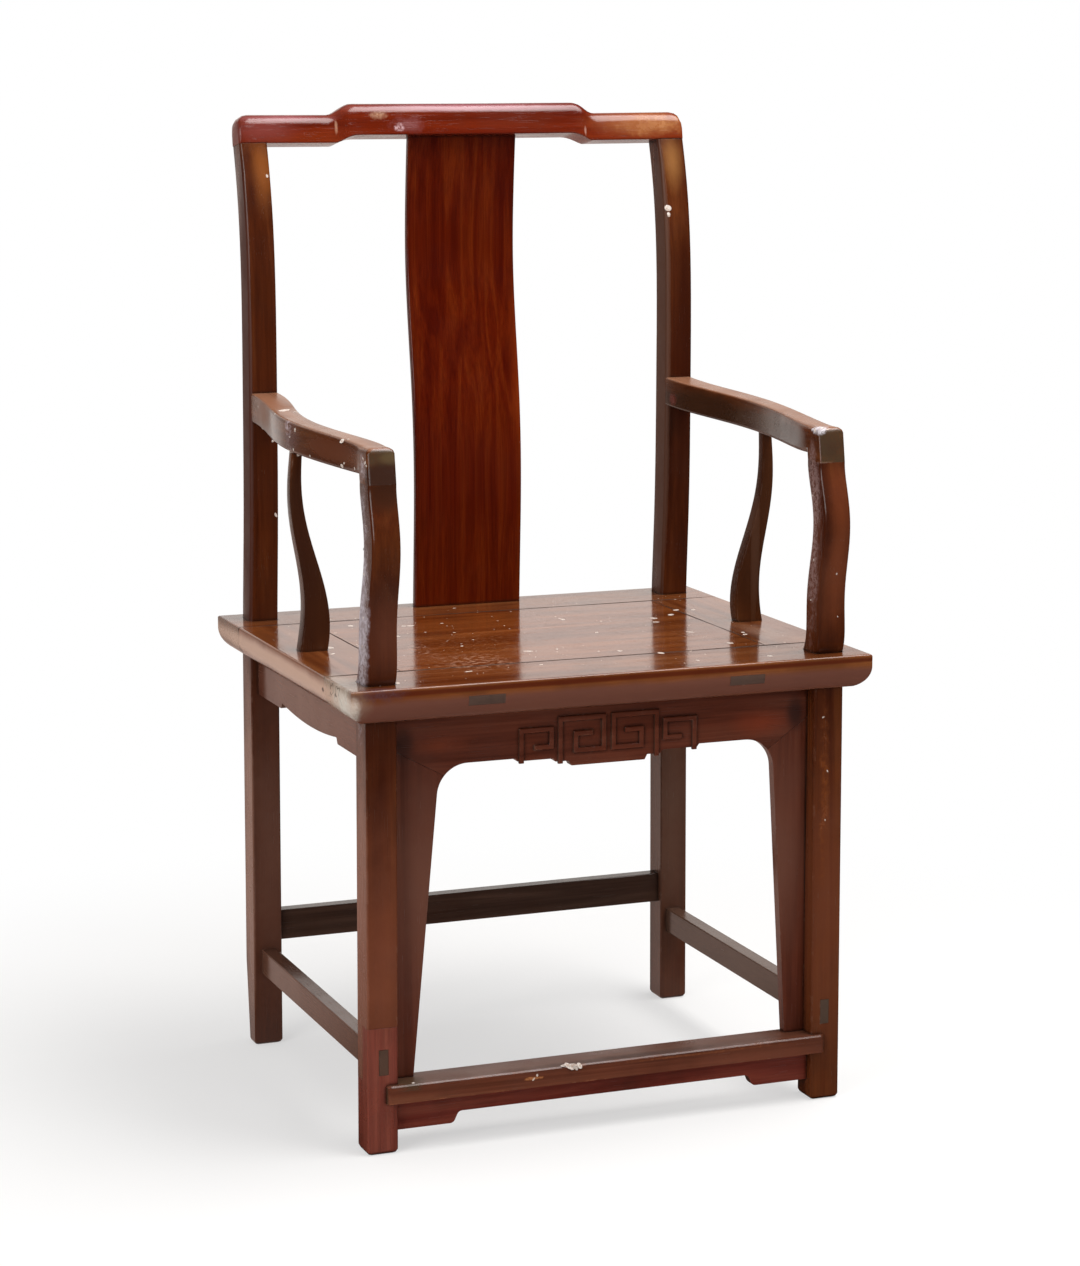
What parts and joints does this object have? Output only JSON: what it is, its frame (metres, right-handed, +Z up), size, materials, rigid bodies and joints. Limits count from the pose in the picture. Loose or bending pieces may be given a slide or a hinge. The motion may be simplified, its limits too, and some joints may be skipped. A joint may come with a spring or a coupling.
{
  "type": "armchair",
  "caption": "Wooden yoke-back armchair: posts run through a panelled seat frame to a crest rail and curved arms, with an S-curved splat, apron arch, stretchers and footrest.",
  "frame": {"origin": "on the floor under the middle of the overall width and depth", "axes": "+X to the sitter's left, which is the right of someone facing the chair, +Y to the back, +Z up"},
  "size_m": [0.588, 0.5006, 1.0788],
  "materials": {
    "crest_wood": "red-brown lacquered hardwood, glossy, worn pale at the ends",
    "splat_wood": "orange-brown lacquered hardwood, glossy, fine upright grain",
    "post_wood": "dark red-brown lacquered hardwood, satin, scuffed arrises",
    "splice_wood": "redder lacquered hardwood of a later repair, satin",
    "arm_wood": "brown lacquered hardwood, worn matt on top, with pale flecks",
    "seat_wood": "mid-brown lacquered hardwood, glossy with fine scratches",
    "panel_wood": "mid-brown lacquered hardwood, glossy with fine scratches",
    "brace_wood": "bare dark hardwood under the seat, dark tenon ends",
    "apron_wood": "dark red-brown lacquered hardwood, satin",
    "footrest_wood": "brown hardwood, lacquer trodden away along the top",
    "footrest_apron_wood": "red-brown lacquered hardwood, satin",
    "stretcher_wood": "dark brown lacquered hardwood, satin"
  },
  "bodies": {
    "root": {"crest_rail": "crest_wood", "back_splat": "splat_wood", "rear_post_left": "post_wood", "rear_post_right": "post_wood", "front_post_left": "post_wood", "front_post_right": "post_wood", "front_left_foot_splice": "splice_wood", "armrest_left": "arm_wood", "armrest_right": "arm_wood", "arm_strut_left": "arm_wood", "arm_strut_right": "arm_wood", "seat_front_rail": "seat_wood", "seat_rear_rail": "seat_wood", "seat_side_rail_left": "seat_wood", "seat_side_rail_right": "seat_wood", "seat_panel": "panel_wood", "seat_brace_left": "brace_wood", "seat_brace_right": "brace_wood", "front_apron": "apron_wood", "front_spandrel_left": "apron_wood", "front_spandrel_right": "apron_wood", "side_apron_left": "apron_wood", "side_apron_right": "apron_wood", "rear_apron": "apron_wood", "footrest": "footrest_wood", "footrest_apron": "footrest_apron_wood", "side_stretcher_left": "stretcher_wood", "side_stretcher_right": "stretcher_wood", "rear_stretcher": "stretcher_wood"}
  },
  "joints": []
}
